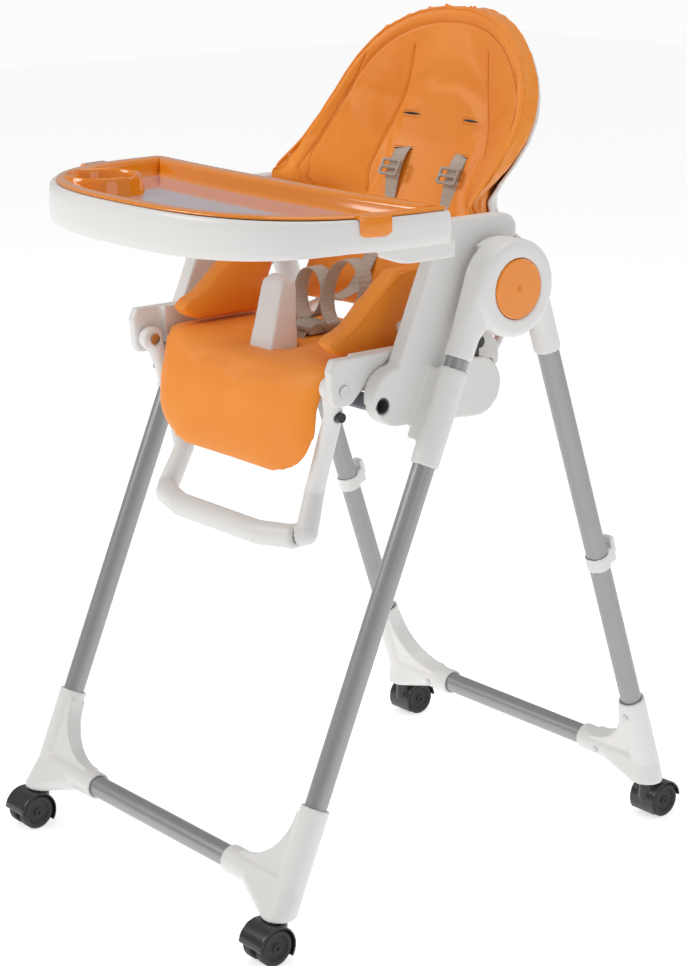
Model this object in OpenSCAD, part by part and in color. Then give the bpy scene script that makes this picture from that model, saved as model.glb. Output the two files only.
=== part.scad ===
// Folding high chair for a baby: a steel A-frame on casters that carries a seat which slides up
// and down the front legs, with a reclining back, a hinged leg rest and a tray that slides and
// lifts off. Millimetres, +Z up, the child faces -Y and the child's left is +X. The origin is on
// the floor, midway between the front and rear casters. Shapes are laid out from the fold pivot.

/* [Frame] */
// Height of the fold pivot above the floor
hub_h = 747; // [700:1:900]
// Half the distance between the front leg axes
leg_half = 252; // [210:1:305]
// Lean of the front legs from upright, in degrees
front_lean = 23.1; // [19:0.1:28]
// Lean of the rear legs from upright, in degrees
rear_lean = 19; // [15:0.1:23]
// Outside diameter of the frame tubes
tube_d = 27; // [22:0.5:30]
// Wall of the frame tubes
tube_wall = 1.5; // [1:0.1:3]
// Distance of the front leg axes from the fold pivot
front_off = 38.3; // [36:0.1:44]
// Distance of the rear leg axes from the fold pivot
rear_off = 46.4; // [44:0.1:52]
// Height of the crossbars above the floor
bar_h = 80; // [76:1:100]

/* [Hubs] */
// Radius of the hub shells
hub_r = 58; // [52:0.5:66]
// Width of a hub shell across the chair
hub_w = 35; // [33:0.5:42]
// Radius of the round fold button
button_r = 35.5; // [28:0.5:42]
// Travel of the fold button
button_travel = 3.5; // [2:0.5:3.5]
// Radius of the fold pivot pin
hub_pin_r = 6; // [4:0.5:8]

/* [Casters] */
// Radius of the caster wheels
wheel_r = 22.5; // [18:0.5:23]
// Width across a pair of caster wheels
wheel_w = 39; // [32:1:44]
// Distance of the wheel axle behind the swivel stem
trail = 17.5; // [14:0.5:21]

/* [Seat] */
// Thickness of each carriage side
carriage_t = 22; // [18:0.5:26]
// Length of the sleeve that slides on a front leg
sleeve_l = 118; // [90:1:140]
// Length of the armrests
arm_l = 133; // [110:1:160]
// Height of the armrests
arm_t = 39; // [32:1:46]
// Thickness of the seat cushion
seat_pad_t = 17.5; // [12:0.5:21]
// Width of the post between the child's legs
post_w = 44; // [36:1:52]

/* [Back] */
// Half the width of the backrest cushion
back_half = 187; // [165:1:198]
// Thickness of the backrest cushion
back_pad_t = 30; // [22:1:36]
// Height of the top of the backrest above the fold pivot
back_top = 304; // [290:1:370]

/* [Leg rest] */
// Thickness of the leg rest flap
flap_t = 10; // [8:0.5:12]
// Half the width of the leg rest flap
flap_half = 157; // [130:1:165]
// Radius of the footrest bar
foot_r = 13; // [10:0.5:15]

/* [Tray] */
// Depth of the tray from its widest place to its front edge
tray_depth = 250; // [210:1:300]
// Height of the tray wall
tray_h = 48; // [40:1:58]
// Thickness of the tray walls
tray_wall = 4; // [3:0.5:5]
// Radius of the cup recess
cup_r = 42; // [34:1:46]
// Depth of the tray insert below its rim
well_d = 19; // [14:0.5:22]

/* [Hidden] */
$fn = 64;

// Clearances: press is a seated fit, run is a turning or sliding fit, gap keeps bodies apart
press = 0.05;
run = 0.06;
gap = 1;
tube_r = tube_d / 2;
socket_r = tube_r + 4;
// The rear frame stands inboard of the front legs so that the legs fold side by side
rear_half = leg_half - 8;
socket_run = 99;
bar_socket = 94;
fillet_r = 70;
stem_front = 16;
stem_rear = 3;
stem_r = 4;
stem_top = bar_h - 4;
foot_z = 2 * wheel_r + 5.5;
screw_r = 1.8;
screw_head_r = 4;
front_bar_y = bar_y(front_lean, front_off);
rear_bar_y = bar_y(rear_lean, rear_off);
// The casters' contacts lie evenly about the origin
hub_y = (rear_bar_y - front_bar_y + stem_front - stem_rear) / 2;

// Planes across the chair, all measured from the front legs
shell_in = leg_half - 12;
shell_out = shell_in + hub_w;
arm_plate_in = leg_half - 21;
arm_plate_out = shell_in - gap;
side_out = leg_half - 27;
side_in = side_out - carriage_t;
gusset_out = side_in - 2;
gusset_in = gusset_out - 13;
wall_in = gusset_in - 8;
bolster_out = gusset_out - 43;
bolster_in = bolster_out - 28;
bolster_screw = [-80, -52];
pin_floor = shell_out - 13;
boss_r = 20;
socket_top = -56;

// Places around the fold pivot, as [y, z]
leg_pivot = [-202, -105];
cross_at = [-163, -124];
cross_r = 10;
back_pivot = [39, -107];
rod_r = 5;
front_lobe = [-141, -116];
rear_lobe = [-15, -122];
lobe_r = 35;
arm_z = 41;
arm_front = -91;
trigger_at = [-13, -69];
floor_z = -113;
floor_t = 7;
pad_z = floor_z + floor_t + 0.5;
pad_front = -182;
pad_back = 20;

// Backrest: the line of its front surface as [y, z], from the top down
back_line = [[150, back_top], [143, 251], [135, 171], [125, 128], [97, 63], [68, 0], [50, -45],
    [42, -85]];
back_shoulder = 130;
// How far the sides of the backrest reach forward of its middle, by height
wing_reach = [[-85, 12], [30, 14], [72, 112], [88, 122], [117, 98], [129, 86], [152, 68], [180, 52],
    [209, 40], [243, 31], [280, 20], [back_top, 10]];
back_rows = concat([-85, -45, 0, 35, 60, 74, 90, 110], [for (a = [0 : 9 : 81]) back_shoulder
    + (back_top - back_shoulder) * sin(a)], [back_top - 1]);
back_cols = [for (u = [-1 : 0.1 : 1.01]) u];

// Leg rest: the line of the flap's front surface as [y, z], from the top down
flap_line = [[-200, -97], [-211, -137], [-216, -180], [-221, -223]];

// Tray, from its widest line forwards and back to the child's side
tray_half = leg_half + 31;
tray_line = -122;
tray_back = 14;
tray_z = 56;
tray_power = 2.8;
belly = 12;
tray_floor = tray_z + 12;
insert_z = tray_z + tray_h + 0.3;
insert_t = 3.7;
cup_at = [-(tray_half - 114), tray_line - tray_depth + 96];
// Clip tabs of the tray insert, over the tray's wall
tab_front = tray_line - tray_depth * 0.464;
tab_w = 37;
tongue_x = side_in + 6;
tongue_w = 10;
tongue_back = 20;

function bar_y(lean, off) = (bar_h - hub_h) * tan(lean) - off / cos(lean);
function drop(lean, off) = (bar_h - hub_h - off * sin(lean)) / cos(lean);
function leg_y(z) = z * tan(front_lean) - front_off / cos(front_lean);
function bent(v, p) = sign(v) * pow(abs(v), p);
function reversed(list) = [for (i = [len(list) - 1 : -1 : 0]) list[i]];
function shifted(list, dy) = [for (p = list) [p[0] + dy, p[1]]];
function band(list, t0, t1) = concat(shifted(list, t0), reversed(shifted(list, t1)));
// Outline of the tray as [x, y]: a rounded front, then the child's side with its belly curve
function tray_edge(inset) = concat(
    [for (a = [0 : 5 : 180]) [(tray_half - inset) * bent(cos(a), 2 / tray_power),
        tray_line - (tray_depth - inset) * bent(sin(a), 2 / tray_power)]],
    [for (u = [-1 : 0.125 : 1]) [(tray_half - inset - 10) * u,
        tray_line + tray_back - inset - belly * (1 - u * u)]]);
// The backrest: half its width, the place of its middle and of its whole surface at a height
function back_width(z, half) = z <= back_shoulder ? half
    : half * pow(max(0, 1 - pow((z - back_shoulder) / (back_top - back_shoulder), 2.2)), 1 / 2.2);
// The sides draw in near the seat so that they pass between the seat walls
function waist(z) = lookup(z, [[15, wall_in - 6], [80, wall_in + 70]]);
function back_mid(z) = lookup(z, [for (p = back_line) [p[1], p[0]]]);
function back_y(x, z) = back_mid(z) - lookup(z, wing_reach)
    * pow(abs(x) / min(waist(z), back_width(z, back_half)), 2.6);
// Outline of the leg rest as [x, z]: straight sides with large corners at the bottom
function flap_edge(half, bottom) = concat([[-half, 0], [half, 0]],
    [for (a = [0 : 9 : 90]) [half - 75 + 75 * cos(a), bottom + 62 - 62 * sin(a)]],
    [for (a = [90 : 9 : 180]) [-half + 75 + 75 * cos(a), bottom + 62 - 62 * sin(a)]]);

module from_hub() { translate([0, hub_y, hub_h]) children(); }
module flip(s) { if (s > 0) children(); else mirror([1, 0, 0]) children(); }
// A leg's own frame: the fold pivot at its origin and +Z up the leg, which stands at y = -off
module on_leg(lean) { rotate([-lean, 0, 0]) children(); }
module to_rear() { mirror([0, 1, 0]) children(); }
// A cylinder along X between x0 and x1 at [y, z]
module xcyl(r, x0, x1, at = [0, 0]) {
    translate([x0, at[0], at[1]]) rotate([0, 90, 0]) cylinder(r = r, h = x1 - x0);
}
// A cylinder along Y between y0 and y1 at [x, z]
module ycyl(r, y0, y1, at) {
    translate([at[0], y1, at[1]]) rotate([90, 0, 0]) cylinder(r = r, h = y1 - y0);
}
// An outline drawn as [y, z], extruded from x0 to x1
module yz(x0, x1) { translate([x0, 0, 0]) rotate([90, 0, 90]) linear_extrude(x1 - x0) children(); }
// An outline drawn as [x, z], extruded from y0 to y1
module xz(y0, y1) { translate([0, y1, 0]) rotate([90, 0, 0]) linear_extrude(y1 - y0) children(); }
// A block between two opposite corners
module block(a, b) { translate(a) cube(b - a); }
// A round bar through a list of points
module bent_bar(points, r) {
    for (i = [1 : len(points) - 1]) {
        d = points[i] - points[i - 1];
        h = norm(d);
        translate(points[i - 1]) rotate([0, acos(d[2] / h), atan2(d[1], d[0])]) cylinder(r = r, h = h);
        if (i < len(points) - 1) translate(points[i]) sphere(r = r + 0.5);
    }
}

// ---- Frame ----

// Where a corner's screws sit: one in the leg socket and one in the crossbar socket, as [x, z]
function screw_spots(half) = [[half, socket_run - 20], [half - bar_socket + 18, 0]];
screw_seat = tube_r + 2;

module at_corner(lean, off) { on_leg(lean) translate([0, -off, drop(lean, off)]) children(); }

module leg_tube(half, lean, off, top) {
    color("silver") difference() {
        on_leg(lean) translate([half, -off, drop(lean, off) + 24])
            difference() {
                cylinder(r = tube_r, h = top - drop(lean, off) - 24);
                translate([0, 0, -1]) cylinder(r = tube_r - tube_wall, h = top - drop(lean, off));
            }
        at_corner(lean, off) ycyl(screw_r + press, 0, tube_r + 1, screw_spots(half)[0]);
    }
}

module crossbar(half, lean, off) {
    color("silver") at_corner(lean, off) difference() {
        xcyl(tube_r, -half + 18, half - 18);
        xcyl(tube_r - tube_wall, -half + 17, half - 17);
        for (s = [-1, 1]) ycyl(screw_r + press, 0, tube_r + 1, [s * screw_spots(half)[1][0], 0]);
    }
}

// One corner casting: sockets for the leg and the crossbar, a curved web and a foot for the stem
module corner(half, lean, off, stem) {
    stem_at = [half, bar_y(lean, off) - stem];
    color("white") difference() {
        union() {
            at_corner(lean, off) {
                translate([half, 0, 0]) cylinder(r = socket_r, h = socket_run);
                xcyl(socket_r, half - 18 - bar_socket, half);
                xz(-12, 12) difference() {
                    translate([half - socket_r - fillet_r, 0]) square(fillet_r + socket_r);
                    translate([half - socket_r - fillet_r, socket_r + fillet_r]) circle(r = fillet_r);
                }
            }
            hull() {
                translate([stem_at[0], stem_at[1], foot_z - hub_h]) cylinder(r = 21, h = 5, $fn = 32);
                at_corner(lean, off) translate([half, 0, 0]) sphere(r = socket_r, $fn = 32);
                at_corner(lean, off) translate([half - 74, 0, 0]) sphere(r = socket_r - 2, $fn = 32);
            }
        }
        at_corner(lean, off) {
            translate([half, 0, 24]) cylinder(r = tube_r + press, h = socket_run);
            xcyl(tube_r + press, half - 20 - bar_socket, half - 18);
            for (p = screw_spots(half)) {
                ycyl(screw_r + press, 0, socket_r + 1, p);
                ycyl(screw_head_r + press, screw_seat, socket_r + 6, p);
            }
        }
        translate([stem_at[0], stem_at[1], foot_z - hub_h - 3])
            cylinder(r = stem_r + run, h = stem_top - foot_z + 4);
    }
}

module corner_screws(half, lean, off) {
    color("dimgray") at_corner(lean, off) for (s = [-1, 1], p = screw_spots(half)) {
        ycyl(screw_r, tube_r - tube_wall - 1, screw_seat, [s * p[0], p[1]]);
        ycyl(screw_head_r, screw_seat, screw_seat + 2.4, [s * p[0], p[1]]);
    }
}

// Fixed half of the fold hub: a round shell that flows into the socket of the front leg
module hub_shell() {
    color("white") difference() {
        union() {
            translate([shell_in, 0, 0]) rotate([0, 90, 0]) rotate_extrude() hub_section();
            on_leg(front_lean) {
                translate([leg_half, -front_off, -socket_run]) cylinder(r = sleeve_r, h = socket_run);
                hull() {
                    translate([leg_half, -front_off, -socket_run * 0.72])
                        cylinder(r = sleeve_r, h = 4, $fn = 32);
                    xcyl(boss_r + 6, shell_in, shell_out - 7, [8 - front_off, -4], $fn = 32);
                }
            }
        }
        on_leg(front_lean) translate([leg_half, -front_off, -socket_run - 1])
            cylinder(r = tube_r + press, h = socket_run - 19);
        xcyl(boss_r + run, shell_in - 6, pin_floor - 6);
        xcyl(hub_pin_r + run, pin_floor - 8, pin_floor + 1);
        xcyl(button_r + 0.5, pin_floor, shell_out + 1);
    }
}

module hub_section() {
    polygon(concat([[0, 0], [hub_r, 0]],
        [for (a = [0 : 10 : 90]) [hub_r - 10 + 10 * cos(a), hub_w - 8 + 8 * sin(a)]], [[0, hub_w]]));
}

module hub_pin() {
    color("gray") {
        xcyl(hub_pin_r, arm_plate_in - 1, pin_floor);
        xcyl(hub_pin_r + 4, pin_floor, pin_floor + 3);
        xcyl(hub_pin_r + 4, arm_plate_in - 3, arm_plate_in - 0.2);
    }
}

module fold_button() {
    color("darkorange") {
        translate([pin_floor + 3.5 + button_travel, 0, 0]) rotate([0, 90, 0]) rotate_extrude()
            polygon([[0, 0], [button_r, 0], [button_r, 5], [button_r - 1.5, 6.4], [0, 7]]);
    }
}

// Moving half of the fold hub: a plate and boss on the pin, and the socket of the rear leg
module hub_arm() {
    color("white") difference() {
        union() {
            xcyl(boss_r, arm_plate_in, pin_floor - 6.5);
            to_rear() on_leg(rear_lean) {
                yz(arm_plate_in, arm_plate_out) intersection() {
                    circle(r = hub_r - 1);
                    translate([-hub_r, -hub_r]) square([hub_r + 12, 2 * hub_r]);
                }
                difference() {
                    translate([rear_half, -rear_off, -108]) cylinder(r = tube_r + 3, h = 90);
                    xcyl(hub_r + 1.5, arm_plate_out, shell_out);
                }
            }
        }
        xcyl(hub_pin_r + press, arm_plate_in - 20, pin_floor);
        to_rear() on_leg(rear_lean) translate([rear_half, -rear_off, -109])
            cylinder(r = tube_r + press, h = 109 + socket_top + 1);
    }
}

module tray_hook() {
    color("white") to_rear() on_leg(rear_lean) translate([rear_half, -rear_off, -420]) difference() {
        union() {
            cylinder(r = tube_r + 2, h = 20);
            block([-8, -tube_r - 11, 0], [8, -tube_r, 20]);
            block([-8, -tube_r - 14, 12], [8, -tube_r - 7, 34]);
        }
        translate([0, 0, -1]) cylinder(r = tube_r + press, h = 60);
    }
}

// ---- Casters, drawn at the front left and copied to the other corners ----

module at_caster(half, lean, off, stem) { translate([half, bar_y(lean, off) - stem, -hub_h]) children(); }

hood_r = wheel_r + 4;
web_half = 4.5;

module caster_fork() {
    color("black") difference() {
        union() {
            difference() {
                xcyl(hood_r, -wheel_w / 2 - 1.5, wheel_w / 2 + 1.5, [-trail, wheel_r]);
                translate([0, -trail, wheel_r]) rotate([-20, 0, 0])
                    block([-wheel_w, -2 * hood_r, -2 * hood_r], [wheel_w, 2 * hood_r, -7]);
            }
            xcyl(hood_r - 9, -web_half, web_half, [-trail, wheel_r]);
            translate([0, 0, wheel_r + 3]) cylinder(r = 10, h = wheel_r);
        }
        for (s = [-1, 1]) flip(s) xcyl(wheel_r + 1.5, web_half, wheel_w, [-trail, wheel_r]);
        xcyl(3 + run, -wheel_w, wheel_w, [-trail, wheel_r]);
        translate([0, 0, wheel_r + 8]) cylinder(r = stem_r + press, h = hood_r * 2);
    }
    color("silver") translate([0, 0, wheel_r + 8]) cylinder(r = stem_r, h = stem_top - wheel_r - 8);
}

module caster_wheels() {
    color("dimgray") {
        xcyl(3, -wheel_w / 2 + 2, wheel_w / 2 - 2, [-trail, wheel_r]);
        for (s = [-1, 1]) flip(s) difference() {
            translate([web_half + 1, -trail, wheel_r]) rotate([0, 90, 0]) rotate_extrude() wheel_section();
            xcyl(3, 0, wheel_w, [-trail, wheel_r]);
        }
    }
}

module wheel_section() {
    w = wheel_w / 2 - web_half - 1;
    polygon([[0, 0], [wheel_r - 2, 0], [wheel_r, 2], [wheel_r, w - 2.5], [wheel_r - 2.5, w],
        [wheel_r - 6, w], [wheel_r - 8, w - 3], [6, w - 3], [5, w - 0.5], [0, w - 0.5]]);
}

// ---- Seat carriage, which slides on the front legs ----

sleeve_r = tube_r + 3.5;
// A little bare leg shows between the hub and the sleeve
sleeve_top = -socket_run - 12;

module carriage() {
    color("white") difference() {
        union() {
            yz(side_in, side_out) {
                polygon([[leg_y(70) - 64, 70], [leg_y(-116) - 64, -116], [leg_y(-116) + 17, -116],
                    [leg_y(70) + 17, 70]]);
                translate(front_lobe) circle(r = lobe_r);
                translate(rear_lobe) circle(r = lobe_r + 1);
                polygon([front_lobe + [0, lobe_r], front_lobe - [0, lobe_r],
                    rear_lobe - [0, lobe_r + 1], rear_lobe + [0, lobe_r + 1]]);
                translate([arm_front, arm_z]) square([arm_l - arm_t / 2, arm_t]);
                translate([arm_front + arm_l - arm_t / 2, arm_z + arm_t / 2]) circle(d = arm_t);
            }
            on_leg(front_lean) {
                translate([leg_half, -front_off, sleeve_top - sleeve_l])
                    cylinder(r = sleeve_r, h = sleeve_l);
                block([side_out - 3, -front_off - 13, sleeve_top - sleeve_l + 26],
                    [leg_half, -front_off + 13, sleeve_top - 5]);
            }
        }
        on_leg(front_lean) translate([leg_half, -front_off, -400]) cylinder(r = tube_r + run, h = 600);
        on_leg(front_lean) xcyl(hub_r + 3, side_out, shell_out);
        xcyl(cross_r + press, side_in - 1, side_out + 1, cross_at);
        block([tongue_x - run, arm_front - 1, tray_z - 0.6],
            [tongue_x + tongue_w + run, tongue_back + 10, tray_floor + 0.6]);
        block([side_in + 7, trigger_at[0] - 4.4, rear_lobe[1]],
            [side_in + 15.8, trigger_at[0] + 4.4, 0]);
    }
}

module height_trigger() {
    color("black") {
        xcyl(7.5, side_in + 2, side_out - 1, trigger_at);
        block([side_in + 7.4, trigger_at[0] - 4, trigger_at[1] - 36],
            [side_in + 15.4, trigger_at[0] + 4, trigger_at[1]]);
    }
}

module cross_tube() {
    color("gray") difference() {
        xcyl(cross_r, -side_out + 2, side_out - 2, cross_at);
        xcyl(cross_r - tube_wall, -side_out, side_out, cross_at);
    }
}

// Gusset beside the leg rest pivot, as [y, z]
gusset = [[-219, -110], [-216, -122], [-203, -124], [-190, -122], [-160, -93], [-126, -70],
    [-98, -67], [-216, -67], [-222, -80]];

module seat_shell() {
    color("whitesmoke") difference() {
        union() {
            block([-wall_in, pad_front + 2, floor_z], [wall_in, pad_back - 2, floor_z + floor_t]);
            for (s = [-1, 1]) flip(s) {
                yz(wall_in, gusset_in) {
                    polygon([[pad_front + 2, floor_z], [pad_front + 2, -67], [back_pivot[0] - 4, -67],
                        [back_pivot[0] + 14, -85], [back_pivot[0] + 14, back_pivot[1]],
                        [back_pivot[0], back_pivot[1] - 14], [10, floor_z - 2]]);
                }
                yz(gusset_in, gusset_out) polygon(gusset);
                block([wall_in - 70, cross_at[0] - 14, cross_at[1] - 14],
                    [wall_in - 50, cross_at[0] + 14, floor_z]);
            }
            block([-12, cross_at[0] - 14, cross_at[1] - 14], [12, cross_at[0] + 14, floor_z]);
        }
        xcyl(cross_r + press, -leg_half, leg_half, cross_at);
        xcyl(rod_r + press, -leg_half, leg_half, back_pivot);
        for (s = [-1, 1]) flip(s) xcyl(4 + press, gusset_in - 1, gusset_out + 1, leg_pivot);
    }
}

module recline_rod() { color("silver") xcyl(rod_r, -gusset_in + 1, gusset_in - 1, back_pivot); }

// Round screws in the outer faces of the bolsters
module seat_screws() {
    color("white") for (s = [-1, 1]) flip(s) {
        xcyl(7, bolster_out, bolster_out + 1.6, bolster_screw);
        xcyl(3, bolster_out - 14, bolster_out, bolster_screw);
    }
}

module seat_cushion() {
    color("darkorange") difference() {
        block([-wall_in + 1, pad_front, pad_z], [wall_in - 1, pad_back, pad_z + seat_pad_t]);
        block([-post_w / 2 - 1, -173, pad_z - 1], [post_w / 2 + 1, -124, 0]);
        block([-14, -112, pad_z - 1], [14, -107, 0]);
    }
}

module bolster() {
    color("orange") difference() {
        yz(bolster_in, bolster_out) polygon([[-30, 16], [-84, 16], [-121, -13], [-156, -44],
            [-180, -54], [-186, -63], [-178, -73], [-156, -81], [-62, -81], [-44, -27]]);
        xcyl(3 + press, bolster_out - 14, bolster_out + 1, bolster_screw);
    }
}

module crotch_post() {
    color("white") intersection() {
        yz(-post_w / 2, post_w / 2) polygon([[-171, pad_z], [-148, -11], [-142, -5], [-134, -5],
            [-126, -13], [-126, pad_z]]);
        xz(-180, -120) polygon([[-post_w / 2, pad_z], [post_w / 2, pad_z], [post_w / 2 - 3, -14],
            [post_w / 2 - 11, -5], [-post_w / 2 + 11, -5], [-post_w / 2 + 3, -14]]);
    }
}

strap_w = 25;
pad_top = pad_z + seat_pad_t;

module lap_straps() {
    color("tan") for (s = [-1, 1]) flip(s)
        translate([24, -78, pad_top + 6]) rotate([0, 0, 22]) cube([118, 2, strap_w]);
}

module crotch_strap() {
    color("tan") block([-strap_w / 2, -110.5, pad_z + 2], [strap_w / 2, -108.5, pad_top + 12]);
}

module buckle() {
    color("rosybrown") {
        block([-21, -104, pad_top + 5], [21, -68, pad_top + 20]);
        block([-9, -107, pad_top + 8], [9, -104, pad_top + 17]);
    }
}

// ---- Backrest ----

// A curved panel that follows the backrest, from t0 to t1 behind its front surface
module back_panel(half, t0, t1, lower) {
    rows = [for (z = back_rows) lower + (z - back_rows[0]) * (back_top - lower - (back_half - half))
        / (back_top - back_rows[0])];
    n = len(back_cols);
    m = len(rows);
    face = function(t) [for (z = rows, u = back_cols)
        let (x = u * max(3, min(waist(z), back_width(z + back_half - half, half))))
            [x, back_y(x, z) + t, z]];
    skin = [for (i = [0 : m - 2], j = [0 : n - 2], h = [0, 1]) let (k = i * n + j)
        h == 0 ? [k, k + n, k + n + 1] : [k, k + n + 1, k + 1]];
    edge = concat([for (j = [0 : n - 1]) j], [for (i = [1 : m - 1]) i * n + n - 1],
        [for (j = [n - 2 : -1 : 0]) (m - 1) * n + j], [for (i = [m - 2 : -1 : 1]) i * n]);
    polyhedron(concat(face(t0), face(t1)), concat(
        skin, [for (q = skin) reversed([for (k = q) k + m * n])],
        [for (i = [0 : len(edge) - 1]) let (a = edge[i], b = edge[(i + 1) % len(edge)])
            [a, b, b + m * n, a + m * n]]));
}

module back_cushion() { color("darkorange") back_panel(back_half, 0, back_pad_t, back_line[7][1]); }

module back_shell() {
    lug_in = wall_in - 14;
    lug_y = back_y(lug_in, back_line[7][1]) + back_pad_t + 1.5;
    color("whitesmoke") difference() {
        union() {
            back_panel(back_half - 14, back_pad_t + 3, back_pad_t + 11, back_line[7][1] + 4);
            for (s = [-1, 1]) flip(s) yz(lug_in, wall_in - 2) {
                translate(back_pivot) circle(r = 14);
                polygon([back_pivot + [-14, 0], back_pivot + [14, -4], [lug_y + 13, -78],
                    [lug_y + 12, -60], [lug_y + 5, -60], [lug_y, -86], [50, -88], [30, -95]]);
            }
        }
        xcyl(rod_r + run, -leg_half, leg_half, back_pivot);
    }
}

module recline_lever() {
    y0 = 99 + back_pad_t + 14;
    color("gray") {
        yz(-48, 48) polygon([[y0, 60], [y0 + 9, 55], [y0 + 15, 86], [y0 + 10, 90], [y0 + 6, 80]]);
    }
}

// Straps leave the lower slits and hang down in front of the back, as [y, z]
strap_line = [[116, 126], [102, 112], [89, 92], [77, 50], [52, 0], [12, -52], [-6, -62]];

module shoulder_strap() {
    color("tan") yz(55 - strap_w / 2, 55 + strap_w / 2) polygon(band(strap_line, -2, 0));
}

module strap_sliders() {
    color("lightgray") for (s = [-1, 1]) flip(s) difference() {
        yz(55 - 16, 55 + 16) polygon([[86, 108], [97, 112], [92, 90], [80, 86]]);
        yz(55 - 13, 55 + 13) polygon(band(strap_line, -3, 1));
    }
}

// ---- Leg rest ----

arm_x = flap_half + 11;
leg_button = [-191, -141];

module footrest_frame() {
    side = [[gusset_in - 11, leg_pivot[0], leg_pivot[1]], [arm_x, leg_button[0], leg_button[1]],
        [flap_half - 26, -189, -239], [flap_half - 18, -208, -286], [flap_half - 30, -220, -291],
        [flap_half / 2, -234, -294]];
    color("white") difference() {
        union() {
            bent_bar(concat(side, [for (p = reversed(side)) [-p[0], p[1], p[2]]]), foot_r - 1.5);
            for (s = [-1, 1]) flip(s) xcyl(15, gusset_in - 16, gusset_in - 0.6, leg_pivot);
        }
        for (s = [-1, 1]) flip(s) {
            xcyl(4 + run, gusset_in - 20, gusset_in + 1, leg_pivot);
            xcyl(7.6, gusset_in - 30, gusset_in - 16, leg_pivot);
            xcyl(6 + run, arm_x + 1.5, leg_half, leg_button);
        }
    }
}

module legrest_panel() {
    color("whitesmoke") intersection() {
        xz(-260, 0) polygon(flap_edge(flap_half - 12, flap_line[3][1] + 10));
        yz(-flap_half, flap_half) polygon(band(flap_line, flap_t + 0.3, flap_t + 4.3));
    }
}

module legrest_pad() {
    color("orange") intersection() {
        xz(-260, 0) polygon(flap_edge(flap_half, flap_line[3][1]));
        yz(-flap_half, flap_half) polygon(band(flap_line, 0, flap_t));
    }
}

module legrest_screws() {
    color("silver") for (s = [-1, 1]) flip(s) {
        xcyl(4, gusset_in - 18, gusset_out, leg_pivot);
        xcyl(7, gusset_out, gusset_out + 1.8, leg_pivot);
        xcyl(7, gusset_in - 18.5, gusset_in - 16.4, leg_pivot);
    }
}

module legrest_button() { color("black") xcyl(6, arm_x + 5.5, arm_x + foot_r + 3, leg_button); }

// ---- Tray ----

module tray_base() {
    color("white") difference() {
        translate([0, 0, tray_z]) linear_extrude(tray_h) polygon(tray_edge(0));
        translate([0, 0, tray_floor + 4]) linear_extrude(tray_h) polygon(tray_edge(tray_wall));
        translate([0, 0, tray_z - 1]) linear_extrude(tray_floor - tray_z + 1) polygon(tray_edge(tray_wall));
        // The wall's lower edge rises from the front to the floor's level at the sides
        yz(-leg_half * 2, leg_half * 2) polygon([[tray_line - tray_depth, tray_z],
            [tray_line - tray_depth / 2, tray_floor], [tray_line + tray_back + 1, tray_floor],
            [tray_line + tray_back + 1, tray_z - 1], [tray_line - tray_depth, tray_z - 1]]);
        for (s = [-1, 1]) flip(s) block([tongue_x - 4, tray_line + 4, tray_z - 1],
            [tray_half - 14, tray_line + 30, tray_floor]);
    }
}

module tray_arm() {
    cheek_out = tray_half - 15;
    color("white") {
        block([tongue_x, -150, tray_z + 0.3], [tongue_x + tongue_w, tongue_back, tray_floor - 0.3]);
        block([tongue_x + tongue_w, -181, tray_z + 0.3], [cheek_out - 11, arm_front - 5, tray_floor - 0.3]);
        yz(cheek_out - 11, cheek_out) polygon([[-202, tray_z + 2], [-175, tray_z - 7],
            [-160, tray_z - 9], [arm_front - 3, tray_z - 9],
            [arm_front - 3, tray_floor - 0.3], [-202, tray_floor - 0.3]]);
    }
}

module tray_latch() {
    color("gray") block([-45, tray_line - tray_depth + 14, tray_z + 1.5],
        [45, tray_line - tray_depth + 34, tray_floor - 0.4]);
}

module tray_insert() {
    well_z = insert_z + insert_t - well_d;
    color("darkorange") difference() {
        union() {
            translate([0, 0, insert_z]) linear_extrude(insert_t) polygon(tray_edge(7));
            translate([0, 0, well_z - 3]) linear_extrude(well_d) polygon(tray_edge(20));
            translate([cup_at[0], cup_at[1], well_z - 3]) cylinder(r = cup_r + 4, h = well_d + 8);
            for (s = [-1, 1]) flip(s) intersection() {
                translate([0, 0, insert_z - 20]) linear_extrude(20 + insert_t) difference() {
                    polygon(tray_edge(-2.6));
                    polygon(tray_edge(-0.5));
                }
                block([0, tab_front, insert_z - 20], [tray_half + 9, tab_front + tab_w, insert_z + 9]);
            }
            intersection() {
                translate([0, 0, insert_z]) linear_extrude(insert_t) polygon(tray_edge(-2.6));
                block([-tray_half - 9, tab_front, insert_z],
                    [tray_half + 9, tab_front + tab_w, insert_z + 9]);
            }
        }
        difference() {
            translate([0, 0, well_z]) linear_extrude(2 * well_d) polygon(tray_edge(24));
            translate([cup_at[0], cup_at[1], well_z - 1]) cylinder(r = cup_r + 4, h = 2 * well_d + 2);
        }
        translate([cup_at[0], cup_at[1], well_z - 0.5]) cylinder(r = cup_r, h = 2 * well_d);
    }
}

// ---- Nodes ----

module front_leg(s) { flip(s) leg_tube(leg_half, front_lean, front_off, -20); }
module rear_leg(s) { flip(s) to_rear() leg_tube(rear_half, rear_lean, rear_off, socket_top); }
module front_corner(s) { flip(s) corner(leg_half, front_lean, front_off, stem_front); }
module rear_corner(s) { flip(s) to_rear() corner(rear_half, rear_lean, rear_off, stem_rear); }
module rear_screws() { corner_screws(rear_half, rear_lean, rear_off); }
module front_caster(s) { flip(s) at_caster(leg_half, front_lean, front_off, stem_front) children(); }
module rear_caster(s) { flip(s) to_rear() at_caster(rear_half, rear_lean, rear_off, stem_rear) children(); }
module both() { for (s = [-1, 1]) flip(s) children(); }

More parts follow.
